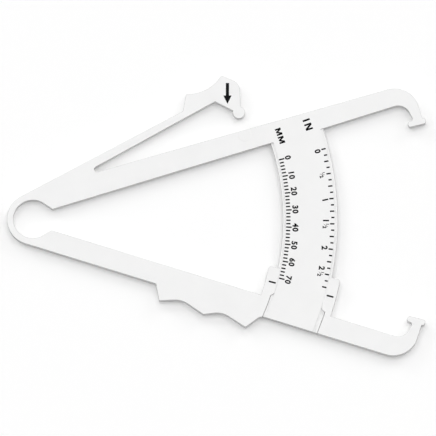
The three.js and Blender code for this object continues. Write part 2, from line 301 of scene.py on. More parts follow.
def cut_across(shape: BMesh, place: Vector, normal: Vector, keep: bool = True) -> None:
    """Cuts a shape along the plane through a place with this normal, and can drop what lies beyond it."""
    bmesh.ops.bisect_plane(
        shape,
        geom=[*shape.verts, *shape.edges, *shape.faces],
        dist=SAME_POINT,
        plane_co=place,
        plane_no=normal,
        clear_outer=not keep,
    )


def close_up(shape: BMesh) -> None:
    """Caps the open ends of a shape and points its faces outwards."""
    bmesh.ops.holes_fill(shape, edges=[edge for edge in shape.edges if edge.is_boundary], sides=0)
    bmesh.ops.recalc_face_normals(shape, faces=shape.faces)


@dataclass(frozen=True)
class Rounding:
    """A rounding of edges or corners, by default the small radius that every moulded edge has."""

    radius: float = 0.16 * MM
    rings: int = 3

    def round_off(self, shape: BMesh, corners: list[BMEdge | BMVert], kind: Corner = Corner.EDGES) -> None:
        """Rounds edges or points of a shape.

        Args:
            shape: The shape that owns them.
            corners: The edges or the points.
            kind: Which of the two they are. Points never run past each other.
        """
        bmesh.ops.bevel(
            shape,
            geom=corners,
            offset=self.radius,
            offset_type="OFFSET",
            segments=self.rings,
            profile=0.5,
            affect=kind.value,
            clamp_overlap=kind is Corner.POINTS,
            material=-1,
        )


# Finishes


class Sketch:
    """Adds nodes to a shader tree and joins their sockets."""

    def __init__(self, tree: NodeTree) -> None:
        """Starts a sketch in an empty tree."""
        self.tree = tree
        self.tree.nodes.clear()

    def add(self, kind: str, *sources: NodeSocket, **values: Any) -> Node:
        """Adds a node.

        Args:
            kind: The node's type, such as ShaderNodeTexNoise.
            *sources: The outputs that feed its first inputs, in their order.
            **values: Settings of the node, or values of its inputs, with _ for a space in the input's name.

        Returns:
            The new node.
        """
        node = self.tree.nodes.new(kind)
        for source, socket in zip(sources, node.inputs):
            self.tree.links.new(source, socket)
        for name, value in values.items():
            socket = node.inputs.get(name.replace("_", " "))
            if socket is None:
                setattr(node, name, value)
            elif isinstance(value, NodeSocket):
                self.tree.links.new(value, socket)
            else:
                socket.default_value = value
        return node

    def mix(self, share: NodeSocket, first: NodeSocket | Colour, second: NodeSocket | Colour) -> NodeSocket:
        """The output that mixes two colours, with this share of the second."""
        return self.add("ShaderNodeMix", data_type="RGBA", Factor=share, A=first, B=second).outputs["Result"]

    def highest(self, value: NodeSocket, *others: NodeSocket) -> NodeSocket:
        """The output that gives the highest of several values."""
        for other in others:
            value = self.add("ShaderNodeMath", value, other, operation="MAXIMUM").outputs[0]
        return value


@dataclass(frozen=True)
class MouldSurface:
    """What moulding leaves: a fine even grain, a slow waviness and faint clouding; with masks for the painted
    shade that greys the sides and the rounded edges.

    Sides and rounded edges are told by how upright their normal is, from 0 on a side to 1 on a level face.
    """

    grain_size: float = 0.16 * MM
    grain_depth: float = 0.004 * MM
    wave_size: float = 14.0 * MM
    wave_depth: float = 0.012 * MM
    cloud_size: float = 9.0 * MM
    # Where the painted shade of upright sides and of rounded edges starts and is full, by how upright the
    # normal is
    side_range: Pair = (0.97, 0.75)
    edge_range: Pair = (0.08, 0.25)
    name: str = "mould_surface_and_shade"

    @cache
    def group(self) -> NodeTree:
        """The node group, made once, that puts out the grain and clouding masks, the painted shade masks and
        the normal.
        """
        tree = bpy.data.node_groups.new(self.name, "ShaderNodeTree")
        sketch = Sketch(tree)
        for label in ("Cloud", "Grain", "Side", "Edge"):
            tree.interface.new_socket(name=label, in_out="OUTPUT", socket_type="NodeSocketFloat")
        tree.interface.new_socket(name="Normal", in_out="OUTPUT", socket_type="NodeSocketVector")
        coordinates = sketch.add("ShaderNodeTexCoord")
        place = coordinates.outputs["Object"]
        cloud, grain, wave = (
            sketch.add("ShaderNodeTexNoise", Vector=place, Scale=1 / size, Detail=detail).outputs["Fac"]
            for size, detail in ((self.cloud_size, 3.0), (self.grain_size, 2.0), (self.wave_size, 1.0))
        )
        slow = sketch.add("ShaderNodeBump", Height=wave, Distance=self.wave_depth, Strength=1.0)
        fine = sketch.add(
            "ShaderNodeBump",
            Height=grain,
            Distance=self.grain_depth,
            Strength=1.0,
            Normal=slow.outputs["Normal"],
        )
        facing = sketch.add("ShaderNodeSeparateXYZ", Vector=coordinates.outputs["Normal"])
        upright = sketch.add("ShaderNodeMath", operation="ABSOLUTE", Value=facing.outputs["Z"])
        # Masks for the painted shade on upright sides and on rounded edges
        side, edge = (
            sketch.add("ShaderNodeMapRange", Value=upright.outputs[0], From_Min=start, From_Max=full)
            for start, full in (self.side_range, self.edge_range)
        )
        sketch.add(
            "NodeGroupOutput",
            Cloud=cloud,
            Grain=grain,
            Side=side.outputs["Result"],
            Edge=edge.outputs["Result"],
            Normal=fine.outputs["Normal"],
        )
        return tree


@dataclass(frozen=True)
class Finish:
    """A surface with its colours and its gloss.

    The clouding mixes two close colours. The sides and the rounded edges have greyer ones, which are painted
    shade, and the grain sets the roughness between two limits.
    """

    name: str
    slot: Slot
    lighter: Colour
    darker: Colour
    # Painted shade: the colours of upright sides and of rounded edges
    sides: Colour
    edges: Colour
    smoothest: float
    roughest: float
    shine: float

    @cache
    def material(self) -> Material:
        """The finish as a material, made once."""
        material = bpy.data.materials.new(self.name)
        material.use_nodes = True
        material.diffuse_color = self.lighter
        sketch = Sketch(material.node_tree)
        surface = sketch.add("ShaderNodeGroup", node_tree=MouldSurface().group()).outputs
        low, high = NOISE_RANGE
        clouding = sketch.add("ShaderNodeMapRange", Value=surface["Cloud"], From_Min=low, From_Max=high)
        level = sketch.mix(clouding.outputs["Result"], self.lighter, self.darker)
        # Painted shade: upright sides and rounded edges take darker colours than the level faces
        border = sketch.mix(surface["Edge"], self.sides, self.edges)
        roughness = sketch.add(
            "ShaderNodeMapRange",
            Value=surface["Grain"],
            From_Min=low,
            From_Max=high,
            To_Min=self.smoothest,
            To_Max=self.roughest,
        )
        shader = sketch.add(
            "ShaderNodeBsdfPrincipled",
            Base_Color=sketch.mix(surface["Side"], level, border),
            Roughness=roughness.outputs["Result"],
            Normal=surface["Normal"],
            Specular_IOR_Level=self.shine,
        )
        sketch.add("ShaderNodeOutputMaterial", Surface=shader.outputs["BSDF"])
        return material

    def piece(self, name: str, shape: BMesh) -> Object:
        """Makes a piece with this finish.

        Args:
            name: The piece's name.
            shape: Its shape, which is freed.

        Returns:
            The new piece.
        """
        piece = piece_of(name, shape)
        piece.data.materials.append(self.material())
        LOG.info("%s: %d faces", name, len(piece.data.polygons))
        return piece


WHITE_PLASTIC = Finish(
    name="satin_white_plastic",
    slot=Slot.PLASTIC,
    lighter=(0.912, 0.912, 0.91, 1.0),
    darker=(0.894, 0.894, 0.892, 1.0),
    # Painted shade on the sides, and darker painted shade on the rounded edges
    sides=(0.75, 0.75, 0.745, 1.0),
    edges=(0.38, 0.38, 0.375, 1.0),
    smoothest=0.52,
    roughest=0.66,
    shine=0.25,
)
BLACK_INK = Finish(
    name="black_print",
    slot=Slot.INK,
    lighter=(0.006, 0.006, 0.0065, 1.0),
    darker=(0.003, 0.003, 0.0035, 1.0),
    # Painted shade colours for the ink's sides and rounded edges, by the same masks
    sides=(0.005, 0.005, 0.0055, 1.0),
    edges=(0.01, 0.01, 0.0105, 1.0),
    smoothest=0.5,
    roughest=0.66,
    shine=0.05,
)


# Moulded pieces


def moulded(name: str, shape: BMesh) -> Object:
    """Makes a piece of white plastic, shaded smooth over its roundings, with its large faces kept flat.

    Args:
        name: The piece's name.
        shape: Its shape, which is freed.

    Returns:
        The new piece.
    """
    piece = WHITE_PLASTIC.piece(name, shape)
    piece.data.shade_smooth()
    piece.data.set_sharp_from_angle(angle=SHADING_ANGLE)
    even = piece.modifiers.new("even_shading", "WEIGHTED_NORMAL")
    even.mode = "FACE_AREA"
    even.keep_sharp = True
    return piece


@dataclass(frozen=True)
class CornerFill:
    """A fillet in the inner upright corners between two radii about the ring, where there is room for it."""

    near: float
    far: float
    fillet: Rounding

    def fill(self, shape: BMesh) -> None:
        """Fills the corners of a fused shape."""
        corners = [
            edge
            for edge in shape.edges
            if is_upright(edge)
            and is_sharp(edge)
            and not edge.is_convex
            and self.near < ring_radius(edge.verts[0]) < self.far
            and has_room(edge, self.fillet.radius)
        ]
        self.fillet.round_off(shape, corners)


@dataclass
class MouldedSkin:
    """A stretch of the moulding that moves as one body.

    Nothing is rounded at the cuts, where a bending stretch goes on, nor on crisp edges close to the scale.
    Edges shorter than the finest are merged away. An upright corner is rounded where the corners that meet it
    are longer than the room, which counts in radii.
    """

    name: str
    limb: Limb
    nodes: tuple[str, ...]
    cuts: tuple[Plane, ...]
    crisp_radii: tuple[float, ...] = ()
    crisp_heights: tuple[float, ...] = ()
    rounding: Rounding = Rounding()
    finest: float = 0.06 * MM
    room: float = 2.5
    beside_foot: CornerFill = CornerFill(138.0 * MM, 155.0 * MM, Rounding(radius=1.1 * MM, rings=6))

    def shape_corners(self, shape: BMesh) -> None:
        """Changes the fused shape before its edges are rounded."""

    def stays_crisp(self, edge: BMEdge) -> bool:
        """Whether an edge runs so close beside the scale that no rounding shows."""
        return any(
            FIT.runs_along(edge, radius, height)
            for radius in self.crisp_radii
            for height in self.crisp_heights
        )

    def is_rounded(self, edge: BMEdge) -> bool:
        """Whether an edge gets the moulding's small radius, as outer edges and free upright corners do."""
        if not is_sharp(edge) or self.stays_crisp(edge) or any(lies_in(edge, *cut) for cut in self.cuts):
            return False
        return has_room(edge, self.room * self.rounding.radius) if is_upright(edge) else edge.is_convex

    def build(self) -> None:
        """Builds the skin, dresses it and lets it ride on its body."""
        shape = fused(self.nodes)
        self.shape_corners(shape)
        bmesh.ops.remove_doubles(shape, verts=shape.verts, dist=self.finest)
        join_flat_faces(shape)
        self.beside_foot.fill(shape)
        self.rounding.round_off(shape, [edge for edge in shape.edges if self.is_rounded(edge)])
        bmesh.ops.dissolve_degenerate(shape, edges=shape.edges, dist=ROUNDED_SPECK)
        piece = moulded(self.name, shape)
        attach(piece, self.limb.value)
        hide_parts(*self.nodes)


@dataclass(frozen=True)
class SpringRing:
    """The C-shaped ring between the arms, which closes up as the jaws do.

    It bends over a stretch that starts above its middle and ends below it.
    """

    name: str = "spring_ring_skin"
    inner_radius: float = 7.3 * MM
    outer_radius: float = 9.69 * MM
    upper_end: float = 118.3
    lower_end: float = 252.6
    steps: int = 72
    rounding: Rounding = Rounding()
    bend_starts: float = 6.3 * MM
    bend_ends: float = -6.8 * MM

    def end_plane(self, angle: float) -> Plane:
        """The plane across the ring at an angle, as a place and a normal."""
        return RING_MIDDLE, ray(angle + 90.0)

    def build(self) -> None:
        """Spins the ring's rounded section round it."""
        shape = bmesh.new()
        inner = on_ring_plan(self.inner_radius, self.upper_end)
        outer = on_ring_plan(self.outer_radius, self.upper_end)
        rise = Vector((0.0, 0.0, PLATE_TOP))
        corners = [shape.verts.new(place) for place in (inner, outer, outer + rise, inner + rise)]
        shape.faces.new(corners)
        self.rounding.round_off(shape, corners, Corner.POINTS)
        bmesh.ops.spin(
            shape,
            geom=[*shape.faces, *shape.edges, *shape.verts],
            cent=RING_MIDDLE,
            axis=(0.0, 0.0, 1.0),
            angle=math.radians(self.lower_end - self.upper_end),
            steps=self.steps,
        )
        bmesh.ops.remove_doubles(shape, verts=shape.verts, dist=SAME_POINT)
        close_up(shape)
        piece = moulded(self.name, shape)
        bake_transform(piece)
        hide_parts("spring_ring")


@dataclass(frozen=True)
class LeverNeck:
    """The thin root of the thumb lever, which bends as the lever is pressed.

    It starts and ends at distances along the lever's straight outer edge, which is tangent to the ring.
    """

    name: str = "lever_neck_skin"
    angle: float = 28.3
    offset: float = 9.7 * MM
    start: float = 30.5 * MM
    end: float = 37.5 * MM
    steps: int = 12
    rounding: Rounding = Rounding()

    def along(self, distance: float, rise: float = 0.0) -> Vector:
        """The point at a distance along the outer edge and a rise away from the upper arm."""
        away = ray(self.angle + 90.0)
        return RING_MIDDLE + away * (self.offset + rise) + ray(self.angle) * distance

    def end_plane(self, distance: float) -> Plane:
        """The plane across the lever at a distance along it, as a place and a normal."""
        return self.along(distance), ray(self.angle)

    def build(self) -> None:
        """Rounds the neck's long edges and slices it so that it can bend."""
        shape = joined_copy("lever_neck")
        ends = [self.end_plane(self.start), self.end_plane(self.end)]
        long_edges = [edge for edge in shape.edges if not any(lies_in(edge, *end) for end in ends)]
        self.rounding.round_off(shape, long_edges)
        length = self.end - self.start
        for step in range(1, self.steps):
            cut_across(shape, *self.end_plane(self.start + length * step / self.steps))
        piece = moulded(self.name, shape)
        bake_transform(piece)
        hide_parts("lever_neck")


@dataclass(frozen=True)
class GuideFit:
    """The close running fit between the scale, its channel and the lips that hold its rims down.

    Radii are about the ring's middle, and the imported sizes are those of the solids.
    """

    plate_edges: Pair = (94.9 * MM, 113.25 * MM)
    packed_lips: Pair = (94.6 * MM, 113.55 * MM)
    closed_lips: Pair = (94.85 * MM, 113.3 * MM)
    packed_rim: float = 1.95 * MM
    rim_top: float = 2.6 * MM
    packed_underside: float = 2.25 * MM
    lip_underside: float = 2.66 * MM
    packed_outer: float = 114.35 * MM
    foot_outer: float = 115.06 * MM
    foot_starts: float = -15.3
    packed_wall: float = 93.5 * MM
    closed_wall: float = 93.71 * MM
    outer_wall: float = 115.2 * MM
    reach: float = 0.02 * MM

    def runs_along(self, edge: BMEdge, radius: float, height: float) -> bool:
        """Whether both ends of an edge lie at this radius and at this height above the underside."""
        return all(
            abs(vert.co.z - height) < self.reach and abs(ring_radius(vert) - radius) < self.reach
            for vert in edge.verts
        )

    def shift(self, vert: BMVert, packed: float, closed: float) -> None:
        """Moves a point that lies at one radius to the other, in plan."""
        if abs(ring_radius(vert) - packed) < self.reach:
            vert.co.xy = RING_MIDDLE.xy + (vert.co.xy - RING_MIDDLE.xy).normalized() * closed


RING = SpringRing()
NECK = LeverNeck()
FIT = GuideFit()


@dataclass
class UpperLimb(MouldedSkin):
    """Upper arm with the scale, whose plate has crisp edges, the hooked jaw and its foot."""

    name: str = "upper_limb_skin"
    limb: Limb = Limb.UPPER
    nodes: tuple[str, ...] = ("upper_arm", "scale_sector", "upper_jaw", "upper_foot")
    cuts: tuple[Plane, ...] = (RING.end_plane(RING.upper_end), NECK.end_plane(NECK.start))
    crisp_radii: tuple[float, ...] = FIT.plate_edges
    crisp_heights: tuple[float, ...] = (PLATE_TOP,)
    beside_scale: CornerFill = CornerFill(93.0 * MM, 115.5 * MM, Rounding(radius=0.5 * MM, rings=6))

    def shape_corners(self, shape: BMesh) -> None:
        """Fits the scale to its guide and fills the corners beside it.

        The press mark is levelled, the rims rise to the lips, and the scale's foot widens in the channel.

        Args:
            shape: The fused limb.
        """
        for vert in shape.verts:
            vert.co.z = min(vert.co.z, PLATE_TOP)
            if abs(vert.co.z - FIT.packed_rim) < FIT.reach:
                vert.co.z = FIT.rim_top
            from_middle = vert.co - RING_MIDDLE
            if math.degrees(math.atan2(from_middle.y, from_middle.x)) < FIT.foot_starts:
                FIT.shift(vert, FIT.packed_outer, FIT.foot_outer)
        bmesh.ops.remove_doubles(shape, verts=shape.verts, dist=SAME_CORNER)
        join_flat_faces(shape)
        self.beside_scale.fill(shape)


@dataclass
class LowerLimb(MouldedSkin):
    """Lower arm with the open channel, the finger grip, both guide tabs, the hooked jaw and its foot.

    The lips' edges and the tops of the channel's walls are crisp.
    """

    name: str = "lower_limb_skin"
    limb: Limb = Limb.LOWER
    nodes: tuple[str, ...] = (
        "lower_arm", "finger_grip", "inner_guide_tab", "outer_guide_tab", "lower_jaw", "lower_foot",
    )
    cuts: tuple[Plane, ...] = (RING.end_plane(RING.lower_end),)
    crisp_radii: tuple[float, ...] = (*FIT.closed_lips, FIT.closed_wall, FIT.outer_wall)
    crisp_heights: tuple[float, ...] = (PLATE_TOP, FIT.lip_underside)

    def shape_corners(self, shape: BMesh) -> None:
        """Brings the lips and the channel's inner wall close to the scale, and thins the lips from below.

        Args:
            shape: The fused limb.
        """
        for vert in shape.verts:
            if abs(vert.co.z - FIT.packed_underside) < FIT.reach:
                vert.co.z = FIT.lip_underside
            FIT.shift(vert, FIT.packed_wall, FIT.closed_wall)
            if vert.co.z > FIT.lip_underside - FIT.reach:
                for packed, closed in zip(FIT.packed_lips, FIT.closed_lips):
                    FIT.shift(vert, packed, closed)


@dataclass
class ThumbLever(MouldedSkin):
    """Lever with the thumb pad and the round tip."""

    name: str = "thumb_lever_skin"
    limb: Limb = Limb.LEVER
    nodes: tuple[str, ...] = ("thumb_lever", "thumb_pad", "lever_tip")
    cuts: tuple[Plane, ...] = (NECK.end_plane(NECK.end),)


@dataclass
class PressMark:
    """The low round land on the upper arm, where the lever's tip swings to, with a gentle slope round it."""

    name: str = "press_mark"
    facets: int = 64
    radius: float = 2.6 * MM
    slope: float = 0.35 * MM
    setback: float = 1.8 * MM
    height: float = 0.09 * MM
    sink: float = 0.02 * MM
    arm_angle: float = 16.13
    arm_offset: float = 10.65 * MM
    tip_distance: float = 87.4 * MM
    tip_drop: float = 10.4 * MM
    edge_margin: float = 0.176 * MM

    def middle(self) -> Vector:
        """Where the tip's centre swings to about the neck's middle, at the setback inside the arm's edge."""
        pivot = hinge_middle("lever_hinge")
        away = ray(self.arm_angle + 90.0)
        drop = (pivot - RING_MIDDLE).dot(away) - self.arm_offset + self.setback
        swing = (NECK.along(self.tip_distance, -self.tip_drop) - pivot).length
        return pivot - away * drop + ray(self.arm_angle) * math.sqrt(swing**2 - drop**2)

    def build(self) -> None:
        """Builds the land, cut off where the arm's edge begins to round."""
        shape = bmesh.new()
        depth = self.height + self.sink
        half_height = PLATE_TOP - self.sink + depth / 2.0
        bmesh.ops.create_cone(
            shape,
            cap_ends=True,
            segments=self.facets,
            radius1=self.radius,
            radius2=self.radius - self.slope,
            depth=depth,
            matrix=Matrix.Translation(self.middle() + Vector((0.0, 0.0, half_height))),
        )
        away = ray(self.arm_angle + 90.0)
        cut_across(shape, RING_MIDDLE + away * (self.arm_offset - self.edge_margin), away, keep=False)
        close_up(shape)
        piece = moulded(self.name, shape)
        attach(piece, Limb.UPPER.value)


# Print


def thicken(shape: BMesh, depth: float) -> None:
    """Turns level faces into closed bodies that rise by a depth.

    Args:
        shape: The faces.
        depth: How far they rise.
    """
    grown = bmesh.ops.extrude_face_region(shape, geom=list(shape.faces))
    risen = [item for item in grown["geom"] if isinstance(item, BMVert)]
    bmesh.ops.translate(shape, vec=(0.0, 0.0, depth), verts=risen)
    bmesh.ops.recalc_face_normals(shape, faces=shape.faces)


def embolden(verts: Iterable[BMVert], distance: float, bluntest: float = 0.5) -> None:
    """Moves the outline of flat faces outwards, with mitred corners.

    Args:
        verts: The points of the faces.
        distance: How far the outline moves.
        bluntest: The least that a corner's sharpness counts as, so that no mitre runs far out.
    """
    moves: dict[BMVert, Vector] = {}
    for vert in verts:
        borders = []
        for loop in vert.link_loops:
            for side in (loop, loop.link_loop_prev):
                if side.edge.is_boundary:
                    along = side.link_loop_next.vert.co - side.vert.co
                    borders.append(along.cross(side.face.normal).normalized())
        if len(borders) == 2:
            sharpness = max(1.0 + borders[0].dot(borders[1]), bluntest)
            moves[vert] = (borders[0] + borders[1]) * (distance / sharpness)
    for vert, move in moves.items():
        vert.co += move


@dataclass(frozen=True)
class Lettering:
    """How a run of characters is printed.

    The weight is the font's own, in parts of its height, and the spread is how far the ink runs beyond it.
    """

    height: float
    weight: float = 0.0
    spacing: float = 1.0
    spread: float = 0.0
    curve_steps: int = 6


@dataclass
class PrintLayer:
    """Flat shapes that are printed together and become one thin piece of ink.

    The ink stands proud of the face by its depth and reaches into it by its sink. A bar's corners are rounded
    by a share of its width.
    """

    name: str
    limb: Limb
    depth: float = 0.02 * MM
    sink: float = 0.005 * MM
    bar_rounding: float = 0.22
    merge: float = 0.001 * MM
    shape: BMesh = field(default_factory=bmesh.new)

    def bar(self, length: float, width: float, seat: Matrix) -> None:
        """Prints a short bar with slightly rounded corners.

        Args:
            length: The size along the seat's Y.
            width: The size along the seat's X.
            seat: The bar's frame.
        """
        size = Matrix.Diagonal((width, length, 1.0, 1.0))
        grid = bmesh.ops.create_grid(self.shape, x_segments=1, y_segments=1, size=0.5, matrix=seat @ size)
        Rounding(self.bar_rounding * width).round_off(self.shape, grid["verts"], Corner.POINTS)

    def outline(self, corners: list[Pair], rounding: Rounding, seat: Matrix) -> None:
        """Prints a filled outline with rounded corners.

        Args:
            corners: The corners in the seat's plane, anticlockwise.
            rounding: The rounding of the corners.
            seat: The outline's frame.
        """
        verts = [self.shape.verts.new(seat @ Vector((x, y, 0.0))) for x, y in corners]
        self.shape.faces.new(verts)
        rounding.round_off(self.shape, verts, Corner.POINTS)

    def characters(self, text: str, style: Lettering, seat: Matrix) -> None:
        """Prints characters, centred on the seat.

        Args:
            text: The characters.
            style: Their height, weight, spacing and spread.
            seat: The frame of the run.
        """
        curve = bpy.data.curves.new("helper", "FONT")
        curve.body = text
        curve.offset = style.weight
        curve.space_character = style.spacing
        curve.resolution_u = style.curve_steps
        helper = put_on_show("helper", curve)
        evaluated = helper.evaluated_get(bpy.context.evaluated_depsgraph_get())
        glyphs = evaluated.to_mesh()
        low = Vector([min(vert.co[i] for vert in glyphs.vertices) for i in range(3)])
        high = Vector([max(vert.co[i] for vert in glyphs.vertices) for i in range(3)])
        scale = style.height / (high.y - low.y)
        to_seat = seat @ Matrix.Diagonal((scale, scale, 1.0, 1.0))
        glyphs.transform(to_seat @ Matrix.Translation(-(low + high) / 2.0))
        known = len(self.shape.verts)
        self.shape.from_mesh(glyphs)
        self.shape.verts.ensure_lookup_table()
        embolden(self.shape.verts[known:], style.spread)
        evaluated.to_mesh_clear()
        take_away(helper)

    def finish(self) -> None:
        """Gives the flat shapes the ink's thickness and its finish, and lets them ride on the limb."""
        bmesh.ops.remove_doubles(self.shape, verts=self.shape.verts, dist=self.merge)
        for vert in self.shape.verts:
            vert.co.z = PLATE_TOP - self.sink
        thicken(self.shape, self.depth + self.sink)
        piece = BLACK_INK.piece(self.name, self.shape)
        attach(piece, self.limb.value)


@dataclass(frozen=True)
class Graduation:
    """Ticks along a scale whose angle follows the gap between the jaws' feet.

    They grow outwards or inwards from the fixed radius, and those at the major steps are longer.
    """

    zero_angle: float
    reach: float
    unit: float
    step: float
    major_step: float
    last: float
    tick_width: float
    tick_length: float
    major_length: float
    fixed_radius: float
    grows_outwards: bool

    def angle(self, value: float) -> float:
        """The angle of a reading, from the chord that it opens between the feet."""
        return self.zero_angle - 2.0 * math.degrees(math.asin(value * self.unit / (2.0 * self.reach)))

    def build(self, name: str) -> None:
        """Prints every tick, as one piece of this name."""
        layer = PrintLayer(name, Limb.UPPER)
        for index in range(round(self.last / self.step) + 1):
            value = index * self.step
            length = self.tick_length if value % self.major_step else self.major_length
            radius = self.fixed_radius + (length if self.grows_outwards else -length) / 2.0
            angle = self.angle(value)
            layer.bar(length, self.tick_width, reading_seat(on_ring_plan(radius, angle), angle))
        layer.finish()


@dataclass
class MillimetreScale:
    """Ticks every 2 mm with a numeral at each ten, beside the scale's inner rim."""

    ticks: Graduation = Graduation(
        zero_angle=13.78,
        reach=147.27 * MM,
        unit=1.0 * MM,
        step=2.0,
        major_step=10.0,
        last=70.0,
        tick_width=0.53 * MM,
        tick_length=1.6 * MM,
        major_length=2.1 * MM,
        fixed_radius=95.05 * MM,
        grows_outwards=True,
    )
    numeral_radius: float = 98.55 * MM
    numerals: Lettering = Lettering(height=2.26 * MM, weight=0.04, spacing=1.17, spread=0.012 * MM)
    leads: tuple[float, ...] = (0.05, -0.14, 0.22, 0.06, 0.0, -0.06, 0.1, 0.12)

    def build(self) -> None:
        """Prints the ticks and the numerals."""
        self.ticks.build("millimetre_ticks")
        layer = PrintLayer("millimetre_numerals", Limb.UPPER)
        for ten, lead in enumerate(self.leads):
            angle = self.ticks.angle(10 * ten) + lead
            place = on_ring_plan(self.numeral_radius, angle)
            layer.characters(str(10 * ten), self.numerals, reading_seat(place, angle))
        layer.finish()


@dataclass(frozen=True)
class InchNumber:
    """A number of the inch scale, which stands a little ahead of its tick, turned and spaced one by one."""

    reading: float
    lead: float
    turn: float = 0.0
    gap: float = 0.0


@dataclass(frozen=True)
class HalfSign:
    """The sign for a half: a slight one, a slash and a stronger two, clear of one another."""

    one: Lettering = Lettering(height=1.12 * MM, weight=0.02, spread=0.012 * MM)
    one_spot: Pair = (-0.65 * MM, 0.6 * MM)
    slash_length: float = 1.9 * MM
    slash_width: float = 0.12 * MM
    slash_lean: float = 30.0
    slash_spot: Pair = (-0.2 * MM, 0.0)
    two: Lettering = Lettering(height=1.45 * MM, weight=0.04, spread=0.01 * MM)
    two_spot: Pair = (0.47 * MM, -0.5 * MM)

    def print_on(self, layer: PrintLayer, seat: Matrix) -> None:
        """Prints the sign on a layer.

        Args:
            layer: The layer.
            seat: The frame of the sign.
        """
        spots = (self.one_spot, self.slash_spot, self.two_spot)
        one, slash, two = (seat @ Matrix.Translation((*spot, 0.0)) for spot in spots)
        lean = Matrix.Rotation(math.radians(-self.slash_lean), 4, "Z")
        layer.characters("1", self.one, one)
        layer.bar(self.slash_length, self.slash_width, slash @ lean)
        layer.characters("2", self.two, two)


@dataclass
class InchScale:
    """Ticks every eighth of an inch with a numeral at each half, beside the scale's outer rim."""

    ticks: Graduation = Graduation(
        zero_angle=13.8,
        reach=148.72 * MM,
        unit=25.4 * MM,
        step=0.125,
        major_step=0.25,
        last=2.75,
        tick_width=0.55 * MM,
        tick_length=1.2 * MM,
        major_length=1.65 * MM,
        fixed_radius=113.12 * MM,
        grows_outwards=False,
    )
    numeral_radius: float = 109.95 * MM
    numerals: Lettering = Lettering(height=2.26 * MM, weight=0.04, spread=0.012 * MM)
    half: HalfSign = HalfSign()
    numbers: tuple[InchNumber, ...] = (
        InchNumber(0.0, lead=-0.16),
        InchNumber(0.5, lead=-0.08, turn=12.0),
        InchNumber(1.0, lead=-0.16, turn=9.0),
        InchNumber(1.5, lead=0.1, gap=2.05 * MM),
        InchNumber(2.0, lead=0.16, turn=5.0),
        InchNumber(2.5, lead=0.48, gap=2.25 * MM),
    )

    def build(self) -> None:
        """Prints the ticks, the numerals and the fractions."""
        self.ticks.build("inch_ticks")
        layer = PrintLayer("inch_numerals", Limb.UPPER)
        for number in self.numbers:
            whole, rest = divmod(number.reading, 1.0)
            angle = self.ticks.angle(number.reading) + number.lead
            middle = on_ring_plan(self.numeral_radius, angle)
            aside = ray(angle - 90.0) * number.gap / 2.0
            up = angle + number.turn
            if whole or not rest:
                layer.characters(str(int(whole)), self.numerals, reading_seat(middle - aside, up))
            if rest:
                self.half.print_on(layer, reading_seat(middle + aside, up))
        layer.finish()


@dataclass(frozen=True)
class BlockLetter:
    """A bold letter made of straight strokes, drawn from its foot with a height of 1."""

    width: float
    corners: tuple[Pair, ...]

    def placed(self, height: float) -> list[Pair]:
        """The corners of a letter of this height, about its middle."""
        return [((x - self.width / 2.0) * height, (y - 0.5) * height) for x, y in self.corners]


LETTERS = {
    "I": BlockLetter(0.26, ((0.0, 0.0), (0.26, 0.0), (0.26, 1.0), (0.0, 1.0))),
    "N": BlockLetter(
        0.92,
        (
            (0.0, 0.0), (0.24, 0.0), (0.24, 0.6), (0.64, 0.0), (0.92, 0.0),
            (0.92, 1.0), (0.68, 1.0), (0.68, 0.4), (0.28, 1.0), (0.0, 1.0),
        ),
    ),
    "M": BlockLetter(
        1.24,
        (
            (0.0, 0.0), (0.28, 0.0), (0.28, 0.52), (0.51, 0.04), (0.73, 0.04), (0.96, 0.52), (0.96, 0.0),
            (1.24, 0.0), (1.24, 1.0), (0.9, 1.0), (0.62, 0.44), (0.34, 1.0), (0.0, 1.0),
        ),
    ),
}


@dataclass(frozen=True)
class UnitMark:
    """A unit's abbreviation: its height, its radius about the ring, and its letters with their angles."""

    height: float
    radius: float
    letters: tuple[tuple[str, float], ...]


@dataclass
class UnitMarks:
    """The abbreviations of the two units, at the upper end of their scales, letter by letter."""

    marks: tuple[UnitMark, ...] = (
        UnitMark(2.2 * MM, 98.1 * MM, (("M", 19.9), ("M", 18.0))),
        UnitMark(2.75 * MM, 109.35 * MM, (("I", 20.26), ("N", 18.86))),
    )
    rounding: Rounding = Rounding(radius=0.05 * MM, rings=4)

    def build(self) -> None:
        """Prints both marks."""
        layer = PrintLayer("unit_marks", Limb.UPPER)
        for mark in self.marks:
            for letter, angle in mark.letters:
                seat = reading_seat(on_ring_plan(mark.radius, angle), angle)
                layer.outline(LETTERS[letter].placed(mark.height), self.rounding, seat)
        layer.finish()


@dataclass
class IndexMarks:
    """The two marks on the guide tabs that the scales are read against.

    Each has a name, an angle about the ring, and the radii of its two ends.
    """

    width: float = 0.62 * MM
    marks: tuple[tuple[str, float, float, float], ...] = (
        ("millimetre_index", -15.0, 91.6 * MM, 94.3 * MM),
        ("inch_index", -14.8, 113.9 * MM, 116.55 * MM),
    )

    def build(self) -> None:
        """Prints one mark on each tab."""
        for name, angle, start, end in self.marks:
            layer = PrintLayer(name, Limb.LOWER)
            middle = on_ring_plan((start + end) / 2.0, angle)
            layer.bar(end - start, self.width, reading_seat(middle, angle))
            layer.finish()


@dataclass
class PressArrow:
    """The arrow on the thumb pad, which points down to the lever's tip."""

    middle: Pair = (73.0 * MM, 48.1 * MM)
    length: float = 8.0 * MM
    head_length: float = 3.2 * MM
    head_width: float = 3.1 * MM
    shaft_width: float = 1.2 * MM
    rounding: Rounding = Rounding(radius=0.12 * MM, rings=4)

    def build(self) -> None:
        """Prints the arrow."""
        tip, tail = -self.length / 2.0, self.length / 2.0
        neck = tip + self.head_length
        shaft, head = self.shaft_width / 2.0, self.head_width / 2.0
        right = [(head, neck), (shaft, neck), (shaft, tail)]
        left = [(-x, y) for x, y in reversed(right)]
        corners = [(0.0, tip), *right, *left]
        layer = PrintLayer("press_arrow", Limb.LEVER)
        place = RING_MIDDLE + Vector((*self.middle, 0.0))
        layer.outline(corners, self.rounding, Matrix.Translation(place))
        layer.finish()


# Studio


